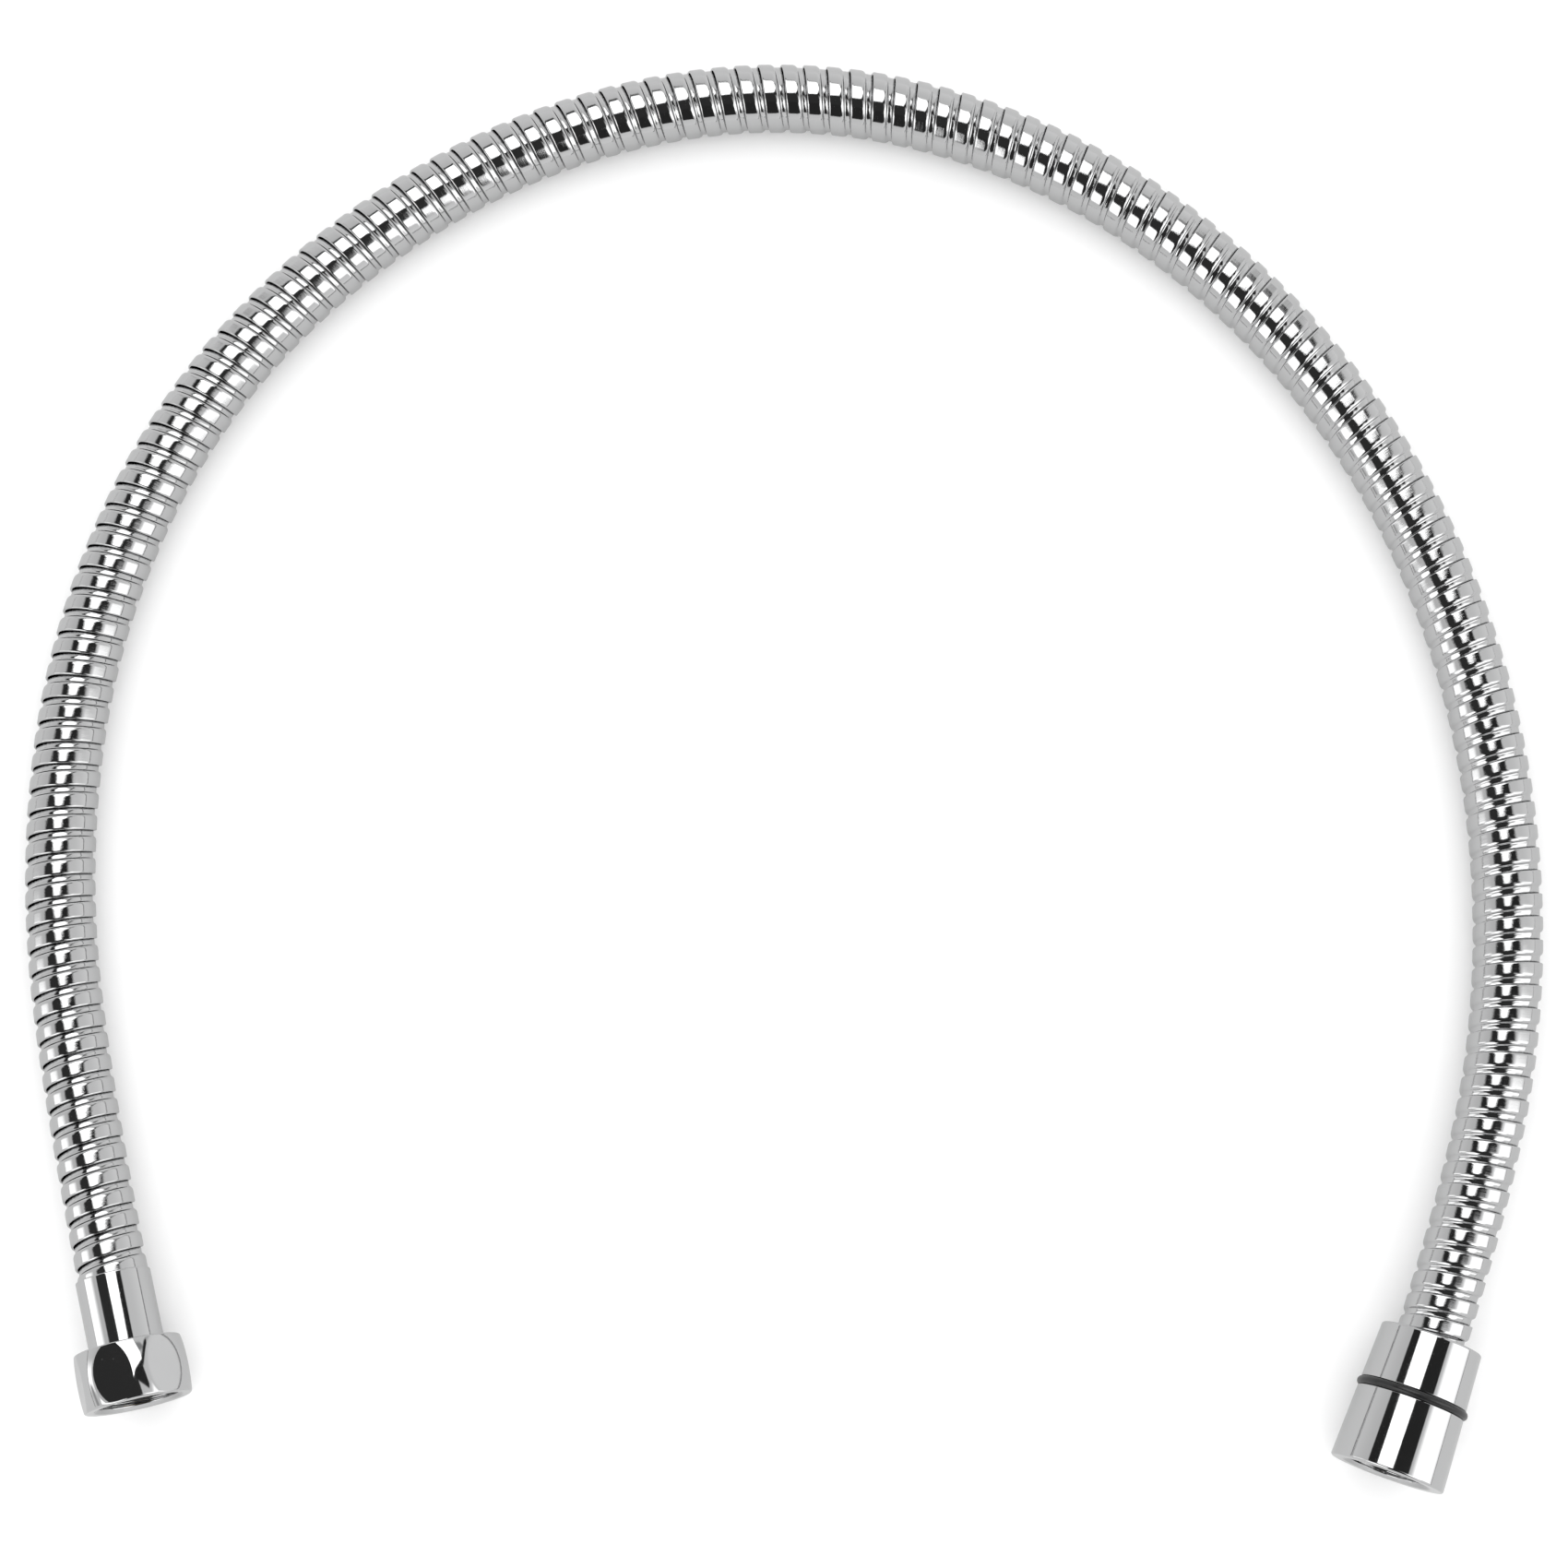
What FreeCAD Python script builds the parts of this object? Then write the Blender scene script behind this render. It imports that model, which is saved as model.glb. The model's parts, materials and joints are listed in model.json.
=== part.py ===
"""Flexible chrome shower hose with a hexagonal union nut on one end and a conical union nut on the other.

Units are millimetres, +Z is up and the hose lies on the plane z = 0 in an open arch. The origin is on
that plane, at the middle of the box around the two end fittings. Each fitting is drawn about its own
axis, where "station" is the distance along that axis towards the open mouth of the nut, and is then set
on its end of the hose, in line with the hose's first or last run.
"""
import FreeCAD, Part
import math
import os

Vector = FreeCAD.Vector

# ---- the hose ----
ARMOUR_RADIUS = 8.0            # outside of the interlocked spiral
ARMOUR_BORE_RADIUS = 6.4
TUBE_RADIUS = 5.5              # inner water tube
TUBE_BORE_RADIUS = 4.0
RADIUS_SHARE = 0.45            # part of the shorter run that an arc takes up at each end

# Corners of the hose's route, from inside the hexagonal fitting to inside the conical one.
ROUTE = [
    (-145.5, 3.5, 12.42),
    (-158.8, 58.0, 8.15),
    (-166.5, 114.0, 8.0),
    (-161.0, 170.5, 8.0),
    (-138.5, 223.0, 8.0),
    (-99.5, 265.0, 8.0),
    (-49.0, 293.2, 8.0),
    (7.5, 301.9, 8.0),
    (63.2, 287.3, 8.0),
    (110.0, 254.5, 8.0),
    (145.0, 209.0, 8.0),
    (165.0, 155.5, 8.0),
    (170.1, 98.5, 8.4),
    (161.2, 42.5, 10.45),
    (142.0, -9.0, 13.04),
]

# ---- the thread of both nuts: G 1/2, internal ----
THREAD_MINOR_RADIUS = 9.316
THREAD_RELIEF_RADIUS = 10.6
THREAD_LEAD_IN = 0.8

# ---- parts that both fittings share ----
SLEEVE_RADIUS = 8.5            # crimped ferrule over the end of the hose
SLEEVE_BORE_RADIUS = 8.05
SLEEVE_END_WALL = 1.0
NECK_RADIUS = 4.9
NECK_HOLE_RADIUS = 4.95
TAIL_BORE_RADIUS = 3.0
BARB_RADIUS = 4.0
BARB_TIP_RADIUS = 3.4
BARB_LENGTH = 24.0
FLANGE_RADIUS = 9.0
FLANGE_THICKNESS = 1.4
CLAMP_RADIUS = 6.2
CLAMP_LENGTH = 8.0
CLAMP_GAP = 2.0
WASHER_RADIUS = 9.0
WASHER_HOLE_RADIUS = 5.5
WASHER_THICKNESS = 2.0
SLIP_RING_RADIUS = 10.2
SLIP_RING_BORE_RADIUS = 8.65
SLIP_RING_THICKNESS = 0.8
NUT_HOLE_RADIUS = 8.8          # hole in the back of each nut, which slides on the sleeve
RING_GAP = 0.05                # axial play each side of a slip ring

# ---- hexagonal fitting: station 0 is the hose-side edge of its sleeve ----
HEX_SLEEVE_LENGTH = 19.0
HEX_NUT_START = 16.1
HEX_NUT_LENGTH = 13.3
HEX_ACROSS_FLATS = 24.0
HEX_BARREL_RADII = (12.0, 12.9, 12.2)    # hose side, widest, mouth
HEX_BARREL_WIDEST = 6.3                  # distance of the widest place from the hose side
HEX_TURN = 17.8                # degrees that the uppermost corner leans towards +X

# ---- conical fitting: station 0 is the hose-side edge of its nut ----
CONE_SLEEVE_START = 1.0
CONE_SLEEVE_LENGTH = 16.9
CONE_NUT_LENGTH = 32.0
CONE_RADII = (11.6, 13.1)
CONE_EDGE = 0.5                # rounded edges of the nut
GRIP_RING_STATION = 14.1
GRIP_RING_SECTION = 1.0        # radius of the rubber ring's round section
GRIP_RING_PROUD = 0.65
GRIP_GROOVE_PLAY = 0.05


# ---- drawing helpers ----
def turned(outline):
    """Solid of revolution about Z from a closed outline of (radius, station) corners.

    An entry of two corners is an arc: its middle, then its end.
    """
    def place(corner):
        return Vector(corner[0], 0, corner[1])

    edges = []
    start = place(outline[0])
    for entry in outline[1:] + outline[:1]:
        if isinstance(entry[0], tuple):
            middle, end = place(entry[0]), place(entry[1])
            edges.append(Part.Arc(start, middle, end).toShape())
        else:
            end = place(entry)
            edges.append(Part.LineSegment(start, end).toShape())
        start = end
    face = Part.Face(Part.Wire(edges))
    return face.revolve(Vector(0, 0, 0), Vector(0, 0, 1), 360)


def ring(outer, inner, start, length):
    """Plain ring or tube about Z."""
    return turned([(inner, start), (outer, start), (outer, start + length), (inner, start + length)])


def torus(radius, section, station):
    """Ring of round section about Z."""
    return Part.makeTorus(radius, section, Vector(0, 0, station), Vector(0, 0, 1))


def straight_runs_and_arcs(corners):
    """The hose's line: straight runs joined by tangent arcs as large as the runs allow."""
    points = [Vector(*corner) for corner in corners]
    edges = []
    start = points[0]
    length = 0.0
    for before, corner, after in zip(points, points[1:], points[2:]):
        back = before - corner
        ahead = after - corner
        reach = RADIUS_SHARE * min(back.Length, ahead.Length)
        half_turn = (math.pi - back.getAngle(ahead)) / 2
        radius = reach / math.tan(half_turn)
        back.normalize()
        ahead.normalize()
        bisector = back + ahead
        bisector.normalize()
        arc_start = corner + back * reach
        arc_end = corner + ahead * reach
        arc_middle = corner + bisector * (radius / math.cos(half_turn) - radius)
        edges.append(Part.LineSegment(start, arc_start).toShape())
        edges.append(Part.Arc(arc_start, arc_middle, arc_end).toShape())
        length += start.distanceToPoint(arc_start) + 2 * half_turn * radius
        start = arc_end
        print(f"arc radius {radius:6.1f} mm, turn {math.degrees(2 * half_turn):4.1f} degrees")
    edges.append(Part.LineSegment(start, points[-1]).toShape())
    length += start.distanceToPoint(points[-1])
    return Part.Wire(edges), length


def hose_tube(line, length, outer, inner, name):
    """Round tube along the hose's line, with its volume compared with section times length."""
    start = Vector(*ROUTE[0])
    heading = Vector(*ROUTE[1]) - start
    solids = []
    for radius in (outer, inner):
        section = Part.Wire(Part.makeCircle(radius, start, heading))
        solids.append(line.makePipeShell([section], True, False))
    tube = solids[0].cut(solids[1])
    expected = math.pi * (outer ** 2 - inner ** 2) * length
    print(f"{name}: length {length:.1f} mm, volume ratio {tube.Volume / expected:.5f}")
    return tube


def fitting_frame(inside, outside, hose_end_station):
    """Placement of a fitting whose axis runs on from the hose's end run.

    Its local Z points out of the nut's mouth, and its local Y is the direction nearest to straight up.
    """
    end = Vector(*inside)
    axis = end - Vector(*outside)
    axis.normalize()
    up = Vector(0, 0, 1) - axis * axis.z
    up.normalize()
    side = up.cross(axis)
    rotation = FreeCAD.Rotation(side, up, axis, "ZYX")
    return FreeCAD.Placement(end - axis * hose_end_station, rotation)


# ---- parts of a fitting, about Z ----
def sleeve(start, length):
    """Thin crimped ferrule: a tube over the hose's end with a wall that the tail's neck passes through."""
    end = start + length
    wall = end - SLEEVE_END_WALL
    lip = 0.2
    return turned([
        (SLEEVE_BORE_RADIUS, start),
        (SLEEVE_RADIUS - lip, start),
        (SLEEVE_RADIUS, start + lip),
        (SLEEVE_RADIUS, end - lip),
        (SLEEVE_RADIUS - lip, end),
        (NECK_HOLE_RADIUS, end),
        (NECK_HOLE_RADIUS, wall),
        (SLEEVE_BORE_RADIUS, wall),
    ])


def tail(flange_start):
    """Brass tail: a barbed spigot in the water tube, a neck and the flange that holds the nut."""
    neck_start = flange_start - SLEEVE_END_WALL
    tip = neck_start - BARB_LENGTH
    flange_end = flange_start + FLANGE_THICKNESS
    taper = BARB_RADIUS - BARB_TIP_RADIUS
    return turned([
        (TAIL_BORE_RADIUS, tip),
        (BARB_TIP_RADIUS, tip),
        (BARB_RADIUS, tip + 4 * taper),
        (BARB_RADIUS, neck_start),
        (NECK_RADIUS, neck_start),
        (NECK_RADIUS, flange_start),
        (FLANGE_RADIUS, flange_start),
        (FLANGE_RADIUS, flange_end),
        (TAIL_BORE_RADIUS, flange_end),
    ])


def tube_clamp(flange_start):
    """Crimp ring that squeezes the water tube onto the tail, inside the armour."""
    end = flange_start - SLEEVE_END_WALL - CLAMP_GAP
    return ring(CLAMP_RADIUS, TUBE_RADIUS, end - CLAMP_LENGTH, CLAMP_LENGTH)


def slip_ring(flange_start):
    """Thin plastic ring that the nut turns on, behind the flange."""
    start = flange_start - RING_GAP - SLIP_RING_THICKNESS
    return ring(SLIP_RING_RADIUS, SLIP_RING_BORE_RADIUS, start, SLIP_RING_THICKNESS)


def washer(flange_start):
    """Flat rubber sealing washer on the flange."""
    start = flange_start + FLANGE_THICKNESS
    return ring(WASHER_RADIUS, WASHER_HOLE_RADIUS, start, WASHER_THICKNESS)


def nut_bore(flange_start, mouth):
    """Inside corners of a nut, from its mouth back to its hole: lead-in, thread, relief and back wall."""
    thread_start = flange_start + FLANGE_THICKNESS + WASHER_THICKNESS
    back_wall = flange_start - 2 * RING_GAP - SLIP_RING_THICKNESS
    return [
        (THREAD_MINOR_RADIUS + THREAD_LEAD_IN, mouth),
        (THREAD_MINOR_RADIUS, mouth - THREAD_LEAD_IN),
        (THREAD_MINOR_RADIUS, thread_start),
        (THREAD_RELIEF_RADIUS, thread_start),
        (THREAD_RELIEF_RADIUS, back_wall),
        (NUT_HOLE_RADIUS, back_wall),
    ]


# ---- the two nuts ----
def hex_nut():
    """Barrel-turned nut with six shallow flats that fade out towards the hose."""
    start = HEX_NUT_START
    mouth = start + HEX_NUT_LENGTH
    hose_side, widest, mouth_side = HEX_BARREL_RADII
    edge = 0.3
    barrel = turned([
        (NUT_HOLE_RADIUS, start),
        (hose_side - edge, start),
        (hose_side, start + edge),
        ((widest, start + HEX_BARREL_WIDEST), (mouth_side, mouth - edge)),
        (mouth_side - edge, mouth),
    ] + nut_bore(HEX_SLEEVE_LENGTH, mouth))
    corner_radius = HEX_ACROSS_FLATS / math.sqrt(3)
    corners = []
    for number in range(7):
        angle = math.radians(60 * number + 90 - HEX_TURN)
        corners.append(Vector(corner_radius * math.cos(angle), corner_radius * math.sin(angle), start))
    prism = Part.Face(Part.makePolygon(corners)).extrude(Vector(0, 0, HEX_NUT_LENGTH))
    return barrel.common(prism)


def cone_radius(station):
    """Outside radius of the conical nut."""
    small, large = CONE_RADII
    return small + (large - small) * station / CONE_NUT_LENGTH


def grip_ring_radius():
    """Radius of the middle of the rubber ring's section."""
    return cone_radius(GRIP_RING_STATION) + GRIP_RING_PROUD - GRIP_RING_SECTION


def cone_nut():
    """Long conical nut with a groove for its rubber ring."""
    flange_start = CONE_SLEEVE_START + CONE_SLEEVE_LENGTH
    mouth = CONE_NUT_LENGTH
    bevel = 0.3 * CONE_EDGE
    body = turned([
        (NUT_HOLE_RADIUS + CONE_EDGE, 0.0),
        (cone_radius(0) - CONE_EDGE, 0.0),
        ((cone_radius(0) - bevel, bevel), (cone_radius(CONE_EDGE), CONE_EDGE)),
        (cone_radius(mouth - CONE_EDGE), mouth - CONE_EDGE),
        ((cone_radius(mouth) - bevel, mouth - bevel), (cone_radius(mouth) - CONE_EDGE, mouth)),
    ] + nut_bore(flange_start, mouth) + [(NUT_HOLE_RADIUS, CONE_EDGE)])
    groove = torus(grip_ring_radius(), GRIP_RING_SECTION + GRIP_GROOVE_PLAY, GRIP_RING_STATION)
    return body.cut(groove)


def fitting(prefix, sleeve_start, sleeve_length):
    """The pieces that both ends have, by node name."""
    flange_start = sleeve_start + sleeve_length
    return {
        prefix + "_sleeve": sleeve(sleeve_start, sleeve_length),
        prefix + "_tail": tail(flange_start),
        prefix + "_tube_clamp": tube_clamp(flange_start),
        prefix + "_slip_ring": slip_ring(flange_start),
        prefix + "_washer": washer(flange_start),
    }


HEX_HOSE_END = HEX_SLEEVE_LENGTH - SLEEVE_END_WALL
CONE_HOSE_END = CONE_SLEEVE_START + CONE_SLEEVE_LENGTH - SLEEVE_END_WALL
HEX_FRAME = fitting_frame(ROUTE[0], ROUTE[1], HEX_HOSE_END)
CONE_FRAME = fitting_frame(ROUTE[-1], ROUTE[-2], CONE_HOSE_END)


def main():
    line, length = straight_runs_and_arcs(ROUTE)
    nodes = {
        "armour": hose_tube(line, length, ARMOUR_RADIUS, ARMOUR_BORE_RADIUS, "armour"),
        "inner_tube": hose_tube(line, length, TUBE_RADIUS, TUBE_BORE_RADIUS, "inner tube"),
    }
    hex_parts = fitting("hex", 0.0, HEX_SLEEVE_LENGTH)
    hex_parts["hex_nut"] = hex_nut()
    cone_parts = fitting("cone", CONE_SLEEVE_START, CONE_SLEEVE_LENGTH)
    cone_parts["cone_nut"] = cone_nut()
    cone_parts["cone_grip_ring"] = torus(grip_ring_radius(), GRIP_RING_SECTION, GRIP_RING_STATION)
    for parts, frame in ((hex_parts, HEX_FRAME), (cone_parts, CONE_FRAME)):
        for name, shape in parts.items():
            shape.Placement = frame
            nodes[name] = shape

    os.makedirs("parts", exist_ok=True)
    for name, shape in nodes.items():
        shape.exportStep(f"parts/{name}.step")
        box = shape.optimalBoundingBox(False, False)
        print(f"{name}: valid {shape.isValid()}, solids {len(shape.Solids)}, lowest {box.ZMin:.2f}")


main()
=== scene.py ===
"""Looks of a chrome shower hose with a hexagonal and a conical union nut, round its CAD frame.

The script is in metres, in the frame of the CAD part: the hose lies on z = 0 in an open arch, and
the two fittings point towards -Y. Sizes of the pieces are named in millimetres and turned into
metres by MM. A fitting is drawn about its own axis, with "station" the distance along it towards
the nut's mouth, in millimetres.
"""
import json
import math

import bmesh
import bpy
import numpy as np
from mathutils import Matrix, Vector


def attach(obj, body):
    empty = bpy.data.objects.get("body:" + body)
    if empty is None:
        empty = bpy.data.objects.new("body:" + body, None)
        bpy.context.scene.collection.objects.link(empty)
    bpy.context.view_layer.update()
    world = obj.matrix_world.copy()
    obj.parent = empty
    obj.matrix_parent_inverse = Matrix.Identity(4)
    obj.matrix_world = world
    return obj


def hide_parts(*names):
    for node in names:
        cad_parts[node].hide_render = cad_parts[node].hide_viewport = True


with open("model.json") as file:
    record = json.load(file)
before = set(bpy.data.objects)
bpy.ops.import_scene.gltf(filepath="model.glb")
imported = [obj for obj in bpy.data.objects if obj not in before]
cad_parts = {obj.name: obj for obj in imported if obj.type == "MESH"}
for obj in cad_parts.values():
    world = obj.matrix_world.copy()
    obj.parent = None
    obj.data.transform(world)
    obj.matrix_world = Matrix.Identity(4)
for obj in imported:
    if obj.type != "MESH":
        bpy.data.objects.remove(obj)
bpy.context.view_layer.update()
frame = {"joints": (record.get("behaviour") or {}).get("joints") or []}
MM = 0.001

# ---- the hose, in millimetres ----
PITCH = 5.2                    # one turn of the armour's steel strip
TUBE_RADIUS = 5.5
TUBE_BORE_RADIUS = 4.0

# The hose's route, in metres: the control points of one smooth line.
ROUTE = [
    (-0.1455, 0.0035, 0.01242),
    (-0.1588, 0.0580, 0.00815),
    (-0.1665, 0.1140, 0.0080),
    (-0.1610, 0.1705, 0.0080),
    (-0.1385, 0.2230, 0.0080),
    (-0.0995, 0.2650, 0.0080),
    (-0.0490, 0.2932, 0.0080),
    (0.0075, 0.3019, 0.0080),
    (0.0632, 0.2873, 0.0080),
    (0.1100, 0.2545, 0.0080),
    (0.1450, 0.2090, 0.0080),
    (0.1650, 0.1555, 0.0080),
    (0.1701, 0.0985, 0.0084),
    (0.1612, 0.0425, 0.01045),
    (0.1420, -0.0090, 0.01304),
]

# ---- stations and radii of the fittings, in millimetres, as in the CAD part ----
THREAD_MINOR = 9.316
THREAD_MAJOR = 10.478
THREAD_PITCH = 1.814
THREAD_RELIEF = 10.6
NUT_HOLE = 8.8
SLEEVE_OUTER = 8.5
SLEEVE_BORE = 8.05
HEX_SLEEVE_LENGTH = 19.0
HEX_NUT_START = 16.1
HEX_NUT_MOUTH = 29.4
HEX_APOTHEM = 12.0
HEX_WIDEST = 12.9
HEX_HOSE_SIDE = 12.0
HEX_MOUTH_SIDE = 12.2
HEX_WIDEST_STATION = 22.4
HEX_TURN = 17.8                # degrees that the uppermost corner leans towards +X
CONE_SLEEVE_START = 1.0
CONE_FLANGE = 17.9
CONE_LENGTH = 32.0
CONE_SMALL = 11.6
CONE_LARGE = 13.1
GRIP_STATION = 14.1
GRIP_SECTION = 1.0
GRIP_PROUD = 0.65
BARB_RADIUS = 3.98             # the tail's barbs fill the water tube's bore
NECK_RADIUS = 4.9
NECK_LENGTH = 1.0
SPIGOT_LENGTH = 24.0
TAIL_BORE = 3.0
FLANGE_RADIUS = 9.0
FLANGE_THICKNESS = 1.4
CLAMP_BORE = 5.52
CLAMP_OUTER = 6.2
CLAMP_LENGTH = 8.0
CLAMP_TO_FLANGE = 3.0
WASHER_BORE = 5.5
WASHER_THICKNESS = 2.0
SLIP_RING_BORE = 8.65
SLIP_RING_OUTER = 10.2
SLIP_RING_THICKNESS = 0.8
PLAY = 0.05

rng = np.random.default_rng(11)


# ---------------------------------------------------------------- meshes
def mesh_object(name, points, faces, uvs=None):
    """Smooth mesh object from points in metres and faces as index tuples, with UVs if given."""
    mesh = bpy.data.meshes.new(name)
    mesh.from_pydata([tuple(p) for p in points], [], [tuple(f) for f in faces])
    mesh.polygons.foreach_set("use_smooth", [True] * len(mesh.polygons))
    if uvs is not None:
        layer = mesh.uv_layers.new(name="along")
        corner_vertices = np.zeros(len(mesh.loops), np.int32)
        mesh.loops.foreach_get("vertex_index", corner_vertices)
        layer.data.foreach_set("uv", np.asarray(uvs, np.float32)[corner_vertices].ravel())
    mesh.update()
    thing = bpy.data.objects.new(name, mesh)
    bpy.context.scene.collection.objects.link(thing)
    return thing


def grid_faces(rows, columns, close_rows, close_columns):
    """Quads of a grid of rows by columns, closed round either way."""
    faces = []
    for i in range(rows if close_rows else rows - 1):
        here = i * columns
        ahead = (i + 1) % rows * columns
        for j in range(columns if close_columns else columns - 1):
            beside = (j + 1) % columns
            faces.append((here + j, here + beside, ahead + beside, ahead + j))
    return faces


GUARD = 0.12                   # how far beyond a rounding its guard points lie, as a share of it


def rounded(corners, steps=4):
    """Closed outline with its corners rounded.

    Each corner is (radius, station, rounding). A guard point on either side of each rounding keeps
    the flats beside it flat.
    """
    count = len(corners)
    outline = []
    for i, (r, w, rounding) in enumerate(corners):
        here = np.array([r, w])
        if rounding == 0:
            outline.append(here)
            continue
        before = np.array(corners[i - 1][:2]) - here
        after = np.array(corners[(i + 1) % count][:2]) - here
        before /= np.linalg.norm(before)
        after /= np.linalg.norm(after)
        half = 0.5 * math.acos(np.clip(before @ after, -1, 1))
        reach = rounding / math.tan(half)
        bisector = (before + after) / np.linalg.norm(before + after)
        centre = here + bisector * rounding / math.sin(half)
        first = here + before * reach - centre
        last = here + after * reach - centre
        sweep = math.pi - 2 * half
        outline.append(here + before * (reach + GUARD * rounding))
        for step in range(steps + 1):
            share = step / steps
            weight_first = math.sin((1 - share) * sweep) / math.sin(sweep)
            weight_last = math.sin(share * sweep) / math.sin(sweep)
            outline.append(centre + first * weight_first + last * weight_last)
        outline.append(here + after * (reach + GUARD * rounding))
    return outline


def subdivided(outline, longest):
    """The closed outline with no side longer than the given length."""
    fine = []
    for here, there in zip(outline, outline[1:] + outline[:1]):
        parts = max(1, math.ceil(np.linalg.norm(there - here) / longest))
        fine += [here + (there - here) * k / parts for k in range(parts)]
    return fine


class FittingFrame:
    """Axis, middle and turn of a fitting, from the hinge that its nut turns on."""

    def __init__(self, joint_name, hinge_station):
        joint = next(j for j in frame["joints"] if j["name"] == joint_name)
        self.axis = np.array(Vector(joint["axis"]).normalized())
        self.origin = np.array(joint["pos_m"]) - self.axis * hinge_station * MM
        up = np.array([0, 0, 1.0]) - self.axis * self.axis[2]
        self.up = up / np.linalg.norm(up)
        self.side = np.cross(self.up, self.axis)

    def place(self, radius, station, angle):
        """Points in metres; angle turns from the side direction towards up."""
        radius, station, angle = np.broadcast_arrays(radius, station, angle)
        sideways = (radius * np.cos(angle))[..., None] * self.side
        upwards = (radius * np.sin(angle))[..., None] * self.up
        onwards = station[..., None] * self.axis
        return self.origin + (sideways + upwards + onwards) * MM


HEX = FittingFrame("hex_nut_turn", HEX_SLEEVE_LENGTH)
CONE = FittingFrame("cone_nut_turn", CONE_FLANGE)


def turned(name, fitting, outline, segments=128, shaping=None):
    """Solid of revolution about a fitting's axis.

    The outline is closed, of (radius, station). shaping(radius, station, angle) may change the radii,
    for flats and threads.
    """
    outline = np.array(outline)
    angles = np.linspace(0, 2 * math.pi, segments, endpoint=False)
    radius = np.repeat(outline[:, :1], segments, axis=1)
    station = np.repeat(outline[:, 1:], segments, axis=1)
    angle = np.repeat(angles[None, :], len(outline), axis=0)
    if shaping:
        radius = shaping(radius, station, angle)
    points = fitting.place(radius, station, angle).reshape(-1, 3)
    faces = grid_faces(len(outline), segments, True, True)
    return mesh_object(name, points, faces)


# ---------------------------------------------------------------- materials
def new_material(name):
    """Material, its Principled shader, and the functions that add and link its nodes."""
    material = bpy.data.materials.new(name)
    material.use_nodes = True
    nodes = material.node_tree.nodes
    return material, nodes["Principled BSDF"], nodes.new, material.node_tree.links.new


def noise_node(add, link, vector, scale, detail=2.0, roughness=0.5):
    node = add("ShaderNodeTexNoise")
    node.inputs["Scale"].default_value = scale
    node.inputs["Detail"].default_value = detail
    node.inputs["Roughness"].default_value = roughness
    link(vector, node.inputs["Vector"])
    return node.outputs["Fac"]


def map_range(add, link, value, low, high, to_low, to_high):
    node = add("ShaderNodeMapRange")
    node.inputs["From Min"].default_value = low
    node.inputs["From Max"].default_value = high
    node.inputs["To Min"].default_value = to_low
    node.inputs["To Max"].default_value = to_high
    link(value, node.inputs["Value"])
    return node.outputs["Result"]


def two_colours(add, link, value, first, last):
    """Colour that goes with a value from one (position, colour) to another."""
    blend = add("ShaderNodeValToRGB")
    for element, (position, colour) in zip(blend.color_ramp.elements, (first, last)):
        element.position = position
        element.color = (*colour, 1)
    link(value, blend.inputs["Fac"])
    return blend.outputs["Color"]


def add_bumps(add, link, shader, heights):
    """Chain of bump nodes from (height output, strength, distance in millimetres)."""
    previous = None
    for height, strength, distance in heights:
        bump = add("ShaderNodeBump")
        bump.inputs["Strength"].default_value = strength
        bump.inputs["Distance"].default_value = distance * MM
        link(height, bump.inputs["Height"])
        if previous is not None:
            link(previous, bump.inputs["Normal"])
        previous = bump.outputs["Normal"]
    link(previous, shader.inputs["Normal"])


def object_coordinates(add):
    return add("ShaderNodeTexCoord").outputs["Object"]


def chrome(name, waviness, striations):
    """Polished chrome plate: slight waves, handling smears, and rolling lines or else fine pits."""
    material, shader, add, link = new_material(name)
    shader.inputs["Base Color"].default_value = (0.56, 0.562, 0.565, 1)
    shader.inputs["Metallic"].default_value = 1.0
    where = object_coordinates(add)
    smears = noise_node(add, link, where, 90.0, 4.0, 0.6)
    link(map_range(add, link, smears, 0.35, 0.75, 0.025, 0.085), shader.inputs["Roughness"])
    heights = [
        (noise_node(add, link, where, 260.0, 2.0), waviness, 0.12),
        (noise_node(add, link, where, 2600.0, 1.0), 0.02, 0.04),
    ]
    if striations:
        stretched = add("ShaderNodeMapping")
        stretched.inputs["Scale"].default_value = (1.6, 60.0, 1.0)
        uv = add("ShaderNodeTexCoord").outputs["UV"]
        link(uv, stretched.inputs["Vector"])
        lines = noise_node(add, link, stretched.outputs["Vector"], 1.0, 3.0, 0.6)
        heights.append((lines, striations, 0.08))
    else:
        cells = add("ShaderNodeTexVoronoi")
        cells.inputs["Scale"].default_value = 420.0
        link(where, cells.inputs["Vector"])
        pits = map_range(add, link, cells.outputs["Distance"], 0.03, 0.07, 0.0, 1.0)
        heights.append((pits, 0.12, 0.04))
    add_bumps(add, link, shader, heights)
    return material


def black_rubber():
    """Moulded rubber with a soft sheen, fine grain and a little dust."""
    material, shader, add, link = new_material("black_rubber")
    where = object_coordinates(add)
    dust = noise_node(add, link, where, 420.0, 4.0, 0.65)
    clean = (0.35, (0.004, 0.004, 0.004))
    dusty = (0.8, (0.016, 0.016, 0.017))
    link(two_colours(add, link, dust, clean, dusty), shader.inputs["Base Color"])
    link(map_range(add, link, dust, 0.3, 0.7, 0.24, 0.38), shader.inputs["Roughness"])
    grain = noise_node(add, link, where, 5200.0, 2.0)
    add_bumps(add, link, shader, [(dust, 0.1, 0.08), (grain, 0.15, 0.03)])
    return material


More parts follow.
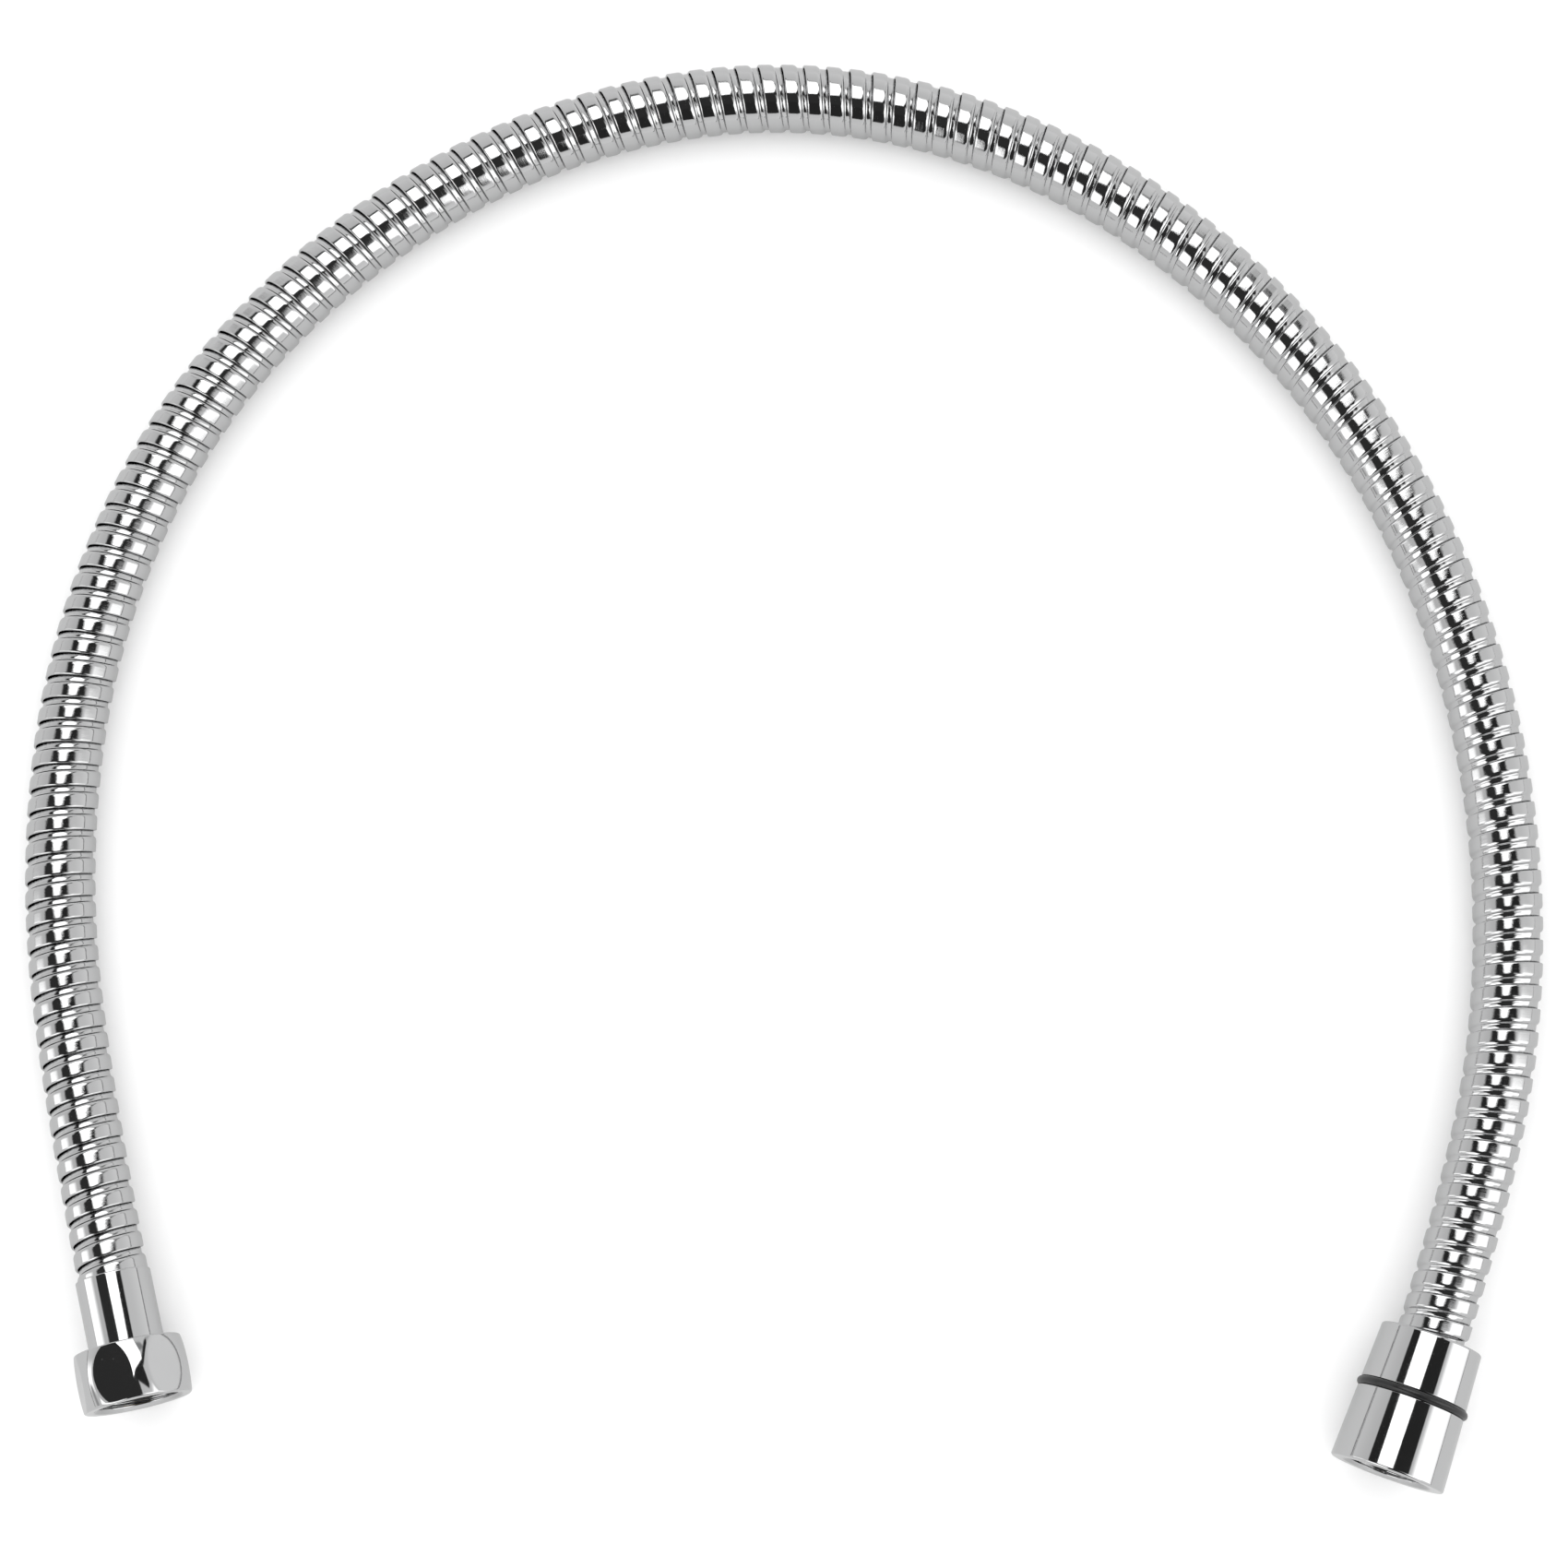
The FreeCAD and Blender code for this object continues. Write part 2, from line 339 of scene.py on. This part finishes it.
def turned_brass():
    """Machined brass: warm metal, a little tarnished, with a fine machined grain."""
    material, shader, add, link = new_material("turned_brass")
    shader.inputs["Metallic"].default_value = 1.0
    where = object_coordinates(add)
    tarnish = noise_node(add, link, where, 160.0, 4.0, 0.6)
    dull = (0.3, (0.62, 0.42, 0.17))
    bright = (0.7, (0.80, 0.60, 0.29))
    link(two_colours(add, link, tarnish, dull, bright), shader.inputs["Base Color"])
    link(map_range(add, link, tarnish, 0.3, 0.7, 0.2, 0.36), shader.inputs["Roughness"])
    marks = noise_node(add, link, where, 3000.0, 1.0)
    add_bumps(add, link, shader, [(marks, 0.2, 0.04)])
    return material


def moulded(name, light, dark, roughness):
    """Plain moulded plastic with a slight mottle and a fine grain."""
    material, shader, add, link = new_material(name)
    where = object_coordinates(add)
    mottle = noise_node(add, link, where, 300.0, 3.0)
    link(two_colours(add, link, mottle, (0.0, dark), (1.0, light)), shader.inputs["Base Color"])
    gloss = map_range(add, link, mottle, 0.3, 0.7, roughness - 0.06, roughness + 0.08)
    link(gloss, shader.inputs["Roughness"])
    grain = noise_node(add, link, where, 4000.0, 2.0)
    add_bumps(add, link, shader, [(grain, 0.15, 0.03)])
    return material


STRIP_CHROME = chrome("strip_chrome", waviness=0.12, striations=0.1)
PLATE_CHROME = chrome("plate_chrome", waviness=0.05, striations=0.0)
RUBBER = black_rubber()
BRASS = turned_brass()
NYLON = moulded("nylon", (0.86, 0.84, 0.78), (0.78, 0.76, 0.70), 0.4)
WATER_TUBE = moulded("water_tube", (0.74, 0.75, 0.73), (0.64, 0.65, 0.64), 0.45)


def finish_piece(piece, body, material, slot, *nodes):
    """Gives a piece its material and body, and hides the CAD nodes that it replaces. The slot is not
    used.
    """
    piece.data.materials.append(material)
    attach(piece, body)
    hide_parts(*nodes)


# ---------------------------------------------------------------- the camera
CAMERA_ELEVATION = 81.0        # degrees
CAMERA_DISTANCE = 0.896
CAMERA_TARGET = Vector((0.002, 0.134, 0.008))
LENS = 88.9                    # millimetres, on a sensor 36 mm wide


def make_camera():
    elevation = math.radians(CAMERA_ELEVATION)
    back = Vector((0, -math.cos(elevation), math.sin(elevation)))
    data = bpy.data.cameras.new("camera")
    data.lens = LENS
    data.sensor_width = 36.0
    data.clip_end = 50.0
    camera = bpy.data.objects.new("camera", data)
    camera.location = CAMERA_TARGET + back * CAMERA_DISTANCE
    camera.rotation_euler = (-back).to_track_quat("-Z", "Y").to_euler()
    bpy.context.scene.collection.objects.link(camera)
    bpy.context.scene.camera = camera


make_camera()


# ---------------------------------------------------------------- the hose
BEND_WINDOW = 41               # number of the line's points that its bend is averaged over


class HoseLine:
    """The hose's smooth line, read from its spline, with a frame and a bend along it."""

    def __init__(self):
        points = self.spline_points()
        steps = np.linalg.norm(np.diff(points, axis=0), axis=1)
        self.points = points
        self.along = np.concatenate([[0], np.cumsum(steps)])
        self.length = self.along[-1]
        self.tangents = np.gradient(points, self.along, axis=0)
        self.tangents /= np.linalg.norm(self.tangents, axis=1)[:, None]
        side = np.cross(self.tangents, [0, 0, 1.0])
        self.side = side / np.linalg.norm(side, axis=1)[:, None]
        turning = np.gradient(self.tangents, self.along, axis=0)
        bend = np.einsum("ij,ij->i", turning, self.side)
        padded = np.pad(bend, BEND_WINDOW // 2, mode="edge")
        self.bend = np.convolve(padded, np.ones(BEND_WINDOW) / BEND_WINDOW, mode="valid")

    @staticmethod
    def spline_points():
        curve = bpy.data.curves.new("route", "CURVE")
        curve.dimensions = "3D"
        curve.resolution_u = 64
        spline = curve.splines.new("NURBS")
        spline.points.add(len(ROUTE) - 1)
        for point, corner in zip(spline.points, ROUTE):
            point.co = (*corner, 1)
        spline.order_u = 3
        spline.use_endpoint_u = True
        holder = bpy.data.objects.new("route", curve)
        line = bpy.data.meshes.new_from_object(holder)
        points = np.array([v.co for v in line.vertices], float)
        bpy.data.objects.remove(holder)
        bpy.data.curves.remove(curve)
        bpy.data.meshes.remove(line)
        return points

    def at(self, distance, table):
        """Vectors of a table of the line's points, at distances between them."""
        return np.stack([np.interp(distance, self.along, table[:, k]) for k in range(3)], axis=-1)

    def place(self, distance, radius, angle, stretch=0.0):
        """Points at a radius and angle about the line; stretch is how far beyond distance they lie.

        Stretch is a true length on the surface, so inside a bend it takes up more of the line.
        """
        curvature = np.interp(distance, self.along, self.bend)
        local = 1 - curvature * radius * np.sin(angle)
        distance = distance + stretch / local
        tangent = self.at(distance, self.tangents)
        side = self.at(distance, self.side)
        up = np.cross(side, tangent)
        up /= np.linalg.norm(up, axis=-1)[..., None]
        upwards = (np.cos(angle) * radius)[..., None] * up
        sideways = (np.sin(angle) * radius)[..., None] * side
        return self.at(distance, self.points) + upwards + sideways


LINE = HoseLine()

# Section of the steel strip, as (distance along the hose from its lip, radius), in millimetres: lip,
# rounded shoulder, broad band, rounded shoulder, recessed land that runs in under the next turn's
# band, and the inside back to the lip.
BAND_RADIUS = 8.0
BAND_MIDDLE = 1.9
STRIP_SECTION = [
    (0.26, 7.38),
    (0.03, 7.47),
    (0.00, 7.68),
    (0.05, 7.86),
    (0.16, 7.96),
    (0.32, 8.00),
    (0.52, 8.00),
    (2.38, 8.00),
    (2.72, 7.985),
    (3.04, 7.93),
    (3.31, 7.81),
    (3.50, 7.64),
    (3.63, 7.46),
    (3.78, 7.35),
    (4.02, 7.30),
    (5.80, 7.30),
    (5.80, 7.02),
    (0.60, 7.60),
]
STEPS_PER_TURN = 36
END_GAP = 1.0                  # the strip starts and ends this far inside the line's ends
GAP_WANDER = 0.035             # how far the turns wander along the hose, in millimetres
LEAN_WANDER = 0.009            # how far the band leans, in radians


def smooth_random(count, period, size):
    """Slow random variation, one value for each step, that changes over about period steps."""
    knots = rng.normal(0, size, count // period + 3)
    where = np.arange(count) / period
    whole = where.astype(int)
    share = where - whole
    share = share * share * (3 - 2 * share)
    return knots[whole] * (1 - share) + knots[whole + 1] * share


def make_armour():
    """The interlocked steel strip: one section swept along a right-hand helix about the hose."""
    section = np.array(STRIP_SECTION) * MM
    turns = (LINE.length - 2 * END_GAP * MM - section[:, 0].max()) / (PITCH * MM)
    count = int(turns * STEPS_PER_TURN)
    step = np.arange(count)
    angle = 2 * math.pi * step / STEPS_PER_TURN
    start = END_GAP * MM + PITCH * MM * step / STEPS_PER_TURN
    start = start + smooth_random(count, 30, GAP_WANDER * MM)
    lean = smooth_random(count, 20, LEAN_WANDER)
    from_middle = section[:, 0] - BAND_MIDDLE * MM
    on_band = section[:, 1] > (BAND_RADIUS - 0.1) * MM
    radius = section[None, :, 1] + np.where(on_band, from_middle * lean[:, None], 0)
    radius = np.minimum(radius, BAND_RADIUS * MM)
    shape = radius.shape
    points = LINE.place(
        np.broadcast_to(start[:, None], shape),
        radius,
        np.broadcast_to(angle[:, None], shape),
        np.broadcast_to(section[None, :, 0], shape),
    ).reshape(-1, 3)
    rows, columns = shape
    faces = grid_faces(rows, columns, False, True)
    faces.append(tuple(range(columns)))
    faces.append(tuple(range((rows - 1) * columns, rows * columns))[::-1])
    across = np.broadcast_to(section[None, :, 0] / (PITCH * MM), shape)
    along = np.broadcast_to(step[:, None] / STEPS_PER_TURN, shape)
    uvs = np.stack([along, across], axis=-1).reshape(-1, 2)
    return mesh_object("armour_strip", points, faces, uvs)


def make_water_tube():
    """The flexible tube inside the armour."""
    rings, sides = 240, 32
    end_gap = 0.5 * MM
    distance = np.linspace(end_gap, LINE.length - end_gap, rings)
    angles = np.linspace(0, 2 * math.pi, sides, endpoint=False)
    shells = []
    for radius, order in ((TUBE_RADIUS, 1), (TUBE_BORE_RADIUS, -1)):
        places = np.repeat(distance[::order, None], sides, axis=1)
        turned_angles = np.repeat(angles[None, :], rings, axis=0)
        shells.append(LINE.place(places, np.full(places.shape, radius * MM), turned_angles))
    points = np.concatenate(shells).reshape(-1, 3)
    return mesh_object("water_tube", points, grid_faces(2 * rings, sides, True, True))


def outward(piece):
    """Turns the faces of a closed piece outwards."""
    work = bmesh.new()
    work.from_mesh(piece.data)
    bmesh.ops.recalc_face_normals(work, faces=work.faces)
    work.to_mesh(piece.data)
    work.free()
    return piece


armour = outward(make_armour())
water_tube = outward(make_water_tube())
finish_piece(armour, "hose", STRIP_CHROME, "armour_chrome", "armour")
finish_piece(water_tube, "hose", WATER_TUBE, "water_tube", "inner_tube")


# ---------------------------------------------------------------- the fittings
THREAD_CHAMFER = 0.8           # millimetres, at the mouth of a nut
THREAD_FADE_IN = 0.6
THREAD_FADE_OUT = 0.6
FLAT_SOFTNESS = 0.10           # millimetres, how soft the edges of the flats are polished


def thread_cut(first, last):
    """Shaping that cuts an internal right-hand G 1/2 thread between two stations."""
    depth = THREAD_MAJOR - THREAD_MINOR

    def shape(radius, station, angle):
        phase = (station / THREAD_PITCH - angle / (2 * math.pi)) % 1.0
        wave = 0.5 - 0.5 * np.cos(2 * math.pi * phase)
        rounded_wave = wave * wave * (3 - 2 * wave)
        fade_in = np.clip((station - first) / THREAD_FADE_IN, 0, 1)
        fade_out = np.clip((last - station) / THREAD_FADE_OUT, 0, 1)
        wall = (np.abs(radius - THREAD_MINOR) < 0.01) & (station >= first) & (station <= last)
        return np.where(wall, radius + depth * rounded_wave * fade_out * fade_in, radius)

    return shape


def barrel_radius(station):
    """Outside of the hexagonal nut before its flats: a curve from rim to rim over its widest place."""
    stations = [HEX_NUT_START, HEX_WIDEST_STATION, HEX_NUT_MOUTH]
    curve = np.polyfit(stations, [HEX_HOSE_SIDE, HEX_WIDEST, HEX_MOUTH_SIDE], 2)
    return np.polyval(curve, station)


def flats(radius, station, angle):
    """Six flats ground on the nut's barrel, with edges polished soft."""
    corner = math.radians(90 - HEX_TURN)
    flat = HEX_APOTHEM / np.cos((angle - corner) % (math.pi / 3) - math.pi / 6)
    apart = radius - flat
    blend = 0.5 * (apart + np.sqrt(apart * apart + FLAT_SOFTNESS * FLAT_SOFTNESS))
    outer = radius > HEX_APOTHEM - 0.6
    return np.where(outer, radius - blend, radius)


def nut_outline(outside, thread_start, back_wall, mouth, hole_start):
    """Corners of a nut: the outside ones given, then the inside from its mouth back to its hole."""
    return outside + [
        (THREAD_MINOR + THREAD_CHAMFER, mouth, 0.15),
        (THREAD_MINOR, mouth - THREAD_CHAMFER, 0.0),
        (THREAD_MINOR, thread_start, 0.0),
        (THREAD_RELIEF, thread_start, 0.0),
        (THREAD_RELIEF, back_wall, 0.0),
        (NUT_HOLE, back_wall, 0.0),
        (NUT_HOLE, hole_start, 0.25),
    ]


def make_hex_nut():
    thread_start = HEX_SLEEVE_LENGTH + FLANGE_THICKNESS + WASHER_THICKNESS
    back_wall = HEX_SLEEVE_LENGTH - SLIP_RING_THICKNESS - 2 * PLAY
    outside = [
        (barrel_radius(HEX_NUT_START), HEX_NUT_START, 0.3),
        (barrel_radius(HEX_NUT_MOUTH), HEX_NUT_MOUTH, 0.45),
    ]
    corners = nut_outline(outside, thread_start, back_wall, HEX_NUT_MOUTH, HEX_NUT_START)
    outline = subdivided(rounded(corners), 0.2)
    thread = thread_cut(thread_start, HEX_NUT_MOUTH - THREAD_CHAMFER)

    def shape(radius, station, angle):
        outer = radius > HEX_HOSE_SIDE - 0.02
        share = (station - HEX_NUT_START) / (HEX_NUT_MOUTH - HEX_NUT_START)
        chord = HEX_HOSE_SIDE + (HEX_MOUTH_SIDE - HEX_HOSE_SIDE) * share
        radius = np.where(outer, radius + barrel_radius(station) - chord, radius)
        return thread(flats(radius, station, angle), station, angle)

    return turned("hex_union_nut", HEX, outline, 288, shape)


def cone_radius(station):
    return CONE_SMALL + (CONE_LARGE - CONE_SMALL) * station / CONE_LENGTH


def make_cone_nut():
    thread_start = CONE_FLANGE + FLANGE_THICKNESS + WASHER_THICKNESS
    back_wall = CONE_FLANGE - SLIP_RING_THICKNESS - 2 * PLAY
    groove = GRIP_SECTION + PLAY
    bottom = cone_radius(GRIP_STATION) + GRIP_PROUD - 2 * GRIP_SECTION - PLAY
    outside = [
        (cone_radius(0), 0.0, 0.5),
        (cone_radius(GRIP_STATION - groove), GRIP_STATION - groove, 0.12),
        (bottom, GRIP_STATION - groove, 0.3),
        (bottom, GRIP_STATION + groove, 0.3),
        (cone_radius(GRIP_STATION + groove), GRIP_STATION + groove, 0.12),
        (cone_radius(CONE_LENGTH), CONE_LENGTH, 0.5),
    ]
    corners = nut_outline(outside, thread_start, back_wall, CONE_LENGTH, 0.0)
    outline = subdivided(rounded(corners), 0.3)
    thread = thread_cut(thread_start, CONE_LENGTH - THREAD_CHAMFER)
    return turned("cone_union_nut", CONE, outline, 192, thread)


def make_grip_ring():
    """Rubber ring of round section, a little uneven where it stretches over the nut."""
    middle = cone_radius(GRIP_STATION) + GRIP_PROUD - GRIP_SECTION
    round_section = np.linspace(0, 2 * math.pi, 32, endpoint=False)
    radii = middle + GRIP_SECTION * np.cos(round_section)
    stations = GRIP_STATION + GRIP_SECTION * np.sin(round_section)
    outline = np.stack([radii, stations], axis=-1)
    broad, narrow = 0.02, 0.015

    def uneven(radius, station, angle):
        swell = broad * np.sin(3 * angle + 1.1) + narrow * np.sin(7 * angle)
        return radius + swell - (broad + narrow)

    return turned("grip_ring", CONE, outline, 192, uneven)


def make_sleeve(name, fitting, start, end):
    """Crimped ferrule: a tube over the hose's end, with an end wall that closes round the tail."""
    wall = 1.0
    neck_hole = NECK_RADIUS + PLAY
    corners = [
        (SLEEVE_BORE, start, 0.1),
        (SLEEVE_OUTER, start, 0.3),
        (SLEEVE_OUTER, end, 0.3),
        (neck_hole, end, 0.1),
        (neck_hole, end - wall, 0.1),
        (SLEEVE_BORE, end - wall, 0.1),
    ]
    return turned(name, fitting, subdivided(rounded(corners), 1.0))


def make_tail(name, fitting, flange):
    """Brass tail: barbed spigot, neck and flange, bored right through."""
    neck = flange - NECK_LENGTH
    tip = neck - SPIGOT_LENGTH
    tip_radius = 3.4
    root_radius = 3.7
    first_barb = 2.4
    barb_spacing = 5.0
    corners = [(TAIL_BORE, tip, 0.1), (tip_radius, tip, 0.15)]
    for barb in range(4):
        crest = tip + first_barb + barb_spacing * barb
        corners += [
            (BARB_RADIUS, crest, 0.1),
            (BARB_RADIUS, crest + 0.6, 0.1),
            (root_radius, crest + 0.8, 0.1),
            (root_radius, crest + 3.2, 0.1),
        ]
    corners += [
        (BARB_RADIUS, neck, 0.0),
        (NECK_RADIUS, neck, 0.1),
        (NECK_RADIUS, flange, 0.1),
        (FLANGE_RADIUS, flange, 0.15),
        (FLANGE_RADIUS, flange + FLANGE_THICKNESS, 0.15),
        (TAIL_BORE, flange + FLANGE_THICKNESS, 0.3),
    ]
    return turned(name, fitting, rounded(corners, 3))


def make_band(name, fitting, bore, outer, start, length, rounding):
    """Plain ring with rounded edges: washer, slip ring or crimp ring."""
    corners = [
        (bore, start, rounding),
        (outer, start, rounding),
        (outer, start + length, rounding),
        (bore, start + length, rounding),
    ]
    return turned(name, fitting, rounded(corners, 3))


def make_inner_parts(prefix, fitting, flange):
    """Tail, crimp ring, slip ring and washer of one fitting."""
    clamp_start = flange - CLAMP_TO_FLANGE - CLAMP_LENGTH
    ring_start = flange - PLAY - SLIP_RING_THICKNESS
    washer_start = flange + FLANGE_THICKNESS
    tail = make_tail(prefix + "_brass_tail", fitting, flange)
    clamp = make_band(
        prefix + "_crimp_ring", fitting, CLAMP_BORE, CLAMP_OUTER, clamp_start, CLAMP_LENGTH, 0.15
    )
    slip_ring = make_band(
        prefix + "_thrust_ring", fitting, SLIP_RING_BORE, SLIP_RING_OUTER, ring_start,
        SLIP_RING_THICKNESS, 0.15
    )
    washer = make_band(
        prefix + "_seal", fitting, WASHER_BORE, FLANGE_RADIUS, washer_start, WASHER_THICKNESS, 0.25
    )
    finish_piece(outward(tail), "hose", BRASS, "brass", prefix + "_tail")
    finish_piece(outward(clamp), "hose", BRASS, "brass", prefix + "_tube_clamp")
    finish_piece(outward(slip_ring), prefix + "_slider", NYLON, "nylon", prefix + "_slip_ring")
    finish_piece(outward(washer), "hose", RUBBER, "black_rubber", prefix + "_washer")


hex_sleeve = outward(make_sleeve("hex_ferrule", HEX, 0.0, HEX_SLEEVE_LENGTH))
cone_sleeve = outward(make_sleeve("cone_ferrule", CONE, CONE_SLEEVE_START, CONE_FLANGE))
finish_piece(hex_sleeve, "hose", PLATE_CHROME, "fitting_chrome", "hex_sleeve")
finish_piece(cone_sleeve, "hose", PLATE_CHROME, "fitting_chrome", "cone_sleeve")
finish_piece(outward(make_hex_nut()), "hex_nut", PLATE_CHROME, "fitting_chrome", "hex_nut")
finish_piece(outward(make_cone_nut()), "cone_nut", PLATE_CHROME, "fitting_chrome", "cone_nut")
finish_piece(outward(make_grip_ring()), "cone_nut", RUBBER, "black_rubber", "cone_grip_ring")
make_inner_parts("hex", HEX, HEX_SLEEVE_LENGTH)
make_inner_parts("cone", CONE, CONE_FLANGE)


# ---------------------------------------------------------------- the studio
DOME_CENTRE = (0.0, 0.13, 0.0)
DOME_RADIUS = 3.0
FLOOR_HALF = 9.0
FLOOR_WHITE = 0.95
FLOOR_MIRRORED = 0.64

# What hangs round the table, as convex panels in a map of the room above it. A place in the map is
# in degrees from straight overhead, towards +X and towards +Y. Later panels hide earlier ones.
# Each panel is (brightness, softness of its edge in degrees, corners counter-clockwise).
PANELS = {
    "left_reflector": (2.2, 2.5, [
        (-64, -28), (-53, -43), (-40, -56), (-25, -60), (-16, -32), (-28, -16), (-57, -17)]),
    "right_reflector": (2.2, 2.0, [
        (26, -20), (22, -28), (30, -42), (42, -46), (54, -38), (56, -20), (52, -11), (30, -12)]),
    "right_tube_lamp": (2.0, 5.0, [(44, 3), (44, -30), (84, -36), (84, -6)]),
    "left_tube_lamp": (2.0, 7.0, [(-94, 2), (-94, -20), (-62, -14), (-62, 2)]),
    "left_shelf": (0.45, 2.0, [(-84, -16), (-75, -36), (-69, -34), (-77, -16)]),
    "left_pole": (0.5, 1.5, [(-68, 76), (-42, 46), (-39, 48), (-65, 78)]),
    "right_pole": (0.6, 4.0, [(36, 50), (40, 44), (76, 80), (70, 86)]),
    "softbox_shade": (0.35, 2.0, [(8, 38), (16, 28), (32, 38), (24, 42)]),
    "softbox_peak": (0.06, 1.0, [(-24, 44), (-24, 34), (2, 38), (8, 44), (-12, 59)]),
    "softbox_left_flap": (0.03, 1.0, [
        (-41, 40), (-43, 22), (-38, 0), (-14, 5), (-14, 34), (-20, 45)]),
    "softbox_right_flap": (0.03, 1.0, [(4, 4), (36, -4), (37, 1), (27, 18), (18, 30), (14, 24)]),
    "softbox_right_post": (0.03, 1.5, [(21, 18), (28, 18), (40, 42), (38, 49), (33, 46)]),
    "camera": (0.04, 1.0, [
        (-34, 13), (-34, -8), (-29, -18), (-18, -32), (12, -32), (26, -20), (16, 0), (4, 13)]),
    "camera_arm": (0.04, 1.0, [(-46, 13), (-46, -1), (-34, -5), (-10, -5), (-10, 13)]),
    "camera_stand": (0.03, 1.0, [(-15, -26), (-26, -67), (0, -69), (40, -59), (18, -26)]),
    "softbox": (2.6, 0.7, [
        (-27, 34), (-26, 26), (-17, 8), (-8, 3), (1, 5), (25, 25), (23, 31), (6, 45), (-9, 51)]),
}


def make_floor():
    """Plain pale floor, just under the hose."""
    corners = [(-1, -1), (1, -1), (1, 1), (-1, 1)]
    points = [(x * FLOOR_HALF, y * FLOOR_HALF, -0.1 * MM) for x, y in corners]
    floor = mesh_object("floor", points, [(0, 1, 2, 3)])
    material, shader, add, link = new_material("pale_floor")
    # The photo's ground is over-exposed to white, so the chrome sees a duller floor than the camera.
    rays = add("ShaderNodeLightPath")
    is_mirrored = rays.outputs["Is Glossy Ray"]
    shade = map_range(add, link, is_mirrored, 0.0, 1.0, FLOOR_WHITE, FLOOR_MIRRORED)
    link(shade, shader.inputs["Base Color"])
    shader.inputs["Roughness"].default_value = 1.0
    shader.inputs["Specular IOR Level"].default_value = 0.0
    floor.data.materials.append(material)


def smooth_step(value, edge, softness):
    """Smooth step from 0 below an edge to 1 above it."""
    share = np.clip((value - edge) / (2 * softness) + 0.5, 0, 1)
    return share * share * (3 - 2 * share)


def inside(east, north, corners, softness):
    """1 inside a convex panel, 0 outside it."""
    result = np.ones_like(east)
    for (x0, y0), (x1, y1) in zip(corners, corners[1:] + corners[:1]):
        length = math.hypot(x1 - x0, y1 - y0)
        distance = ((east - x0) * (y0 - y1) + (north - y0) * (x1 - x0)) / length
        result *= smooth_step(distance, 0, softness)
    return result


def room_light(from_zenith, bearing):
    """Brightness of the room, by degrees from straight overhead and bearing in radians."""
    east = from_zenith * np.cos(bearing)
    north = from_zenith * np.sin(bearing)
    lower_walls = 0.14 * smooth_step(from_zenith, 70, 22)
    right_side = 0.12 * smooth_step(east, 0, 60)
    light = 0.74 + lower_walls + right_side
    for brightness, softness, corners in PANELS.values():
        share = inside(east, north, corners, softness)
        light = light * (1 - share) + brightness * share
    horizon = smooth_step(from_zenith, 88.6, 0.5) * smooth_step(np.abs(np.cos(bearing)), 0.8, 0.1)
    return light * (1 - horizon) + 0.3 * horizon


def make_dome():
    """Room that only mirror-like surfaces see, with its brightness held in a colour attribute."""
    rings, sides = 186, 480
    levels = np.linspace(0.01, 93.0, rings)
    bearings = np.linspace(0, 2 * math.pi, sides, endpoint=False)
    from_zenith, bearing = np.meshgrid(levels, bearings, indexing="ij")
    outwards = np.sin(np.radians(from_zenith))
    upwards = np.cos(np.radians(from_zenith))
    points = np.stack([outwards * np.cos(bearing), outwards * np.sin(bearing), upwards], axis=-1)
    points = (points * DOME_RADIUS + np.array(DOME_CENTRE)).reshape(-1, 3)
    dome = mesh_object("room", points, grid_faces(rings, sides, False, True))
    light = np.repeat(room_light(from_zenith, bearing).reshape(-1, 1), 4, axis=1)
    attribute = dome.data.color_attributes.new("light", "FLOAT_COLOR", "POINT")
    attribute.data.foreach_set("color", light.astype(np.float32).ravel())
    material = bpy.data.materials.new("room_light")
    material.use_nodes = True
    material.cycles.emission_sampling = "NONE"
    tree = material.node_tree
    tree.nodes.clear()
    source = tree.nodes.new("ShaderNodeAttribute")
    source.attribute_name = "light"
    glow = tree.nodes.new("ShaderNodeEmission")
    result = tree.nodes.new("ShaderNodeOutputMaterial")
    tree.links.new(source.outputs["Color"], glow.inputs["Color"])
    tree.links.new(glow.outputs["Emission"], result.inputs["Surface"])
    dome.data.materials.append(material)
    dome.visible_camera = False
    dome.visible_diffuse = False
    dome.visible_shadow = False
    dome.visible_transmission = False


WORLD_STRENGTH = 1.42


def make_world():
    """Plain even light from all round."""
    world = bpy.data.worlds.new("studio")
    bpy.context.scene.world = world
    world.use_nodes = True
    background = world.node_tree.nodes["Background"]
    background.inputs["Color"].default_value = (1, 1, 1, 1)
    background.inputs["Strength"].default_value = WORLD_STRENGTH


make_floor()
make_dome()
make_world()

bpy.context.scene.view_settings.view_transform = "Standard"
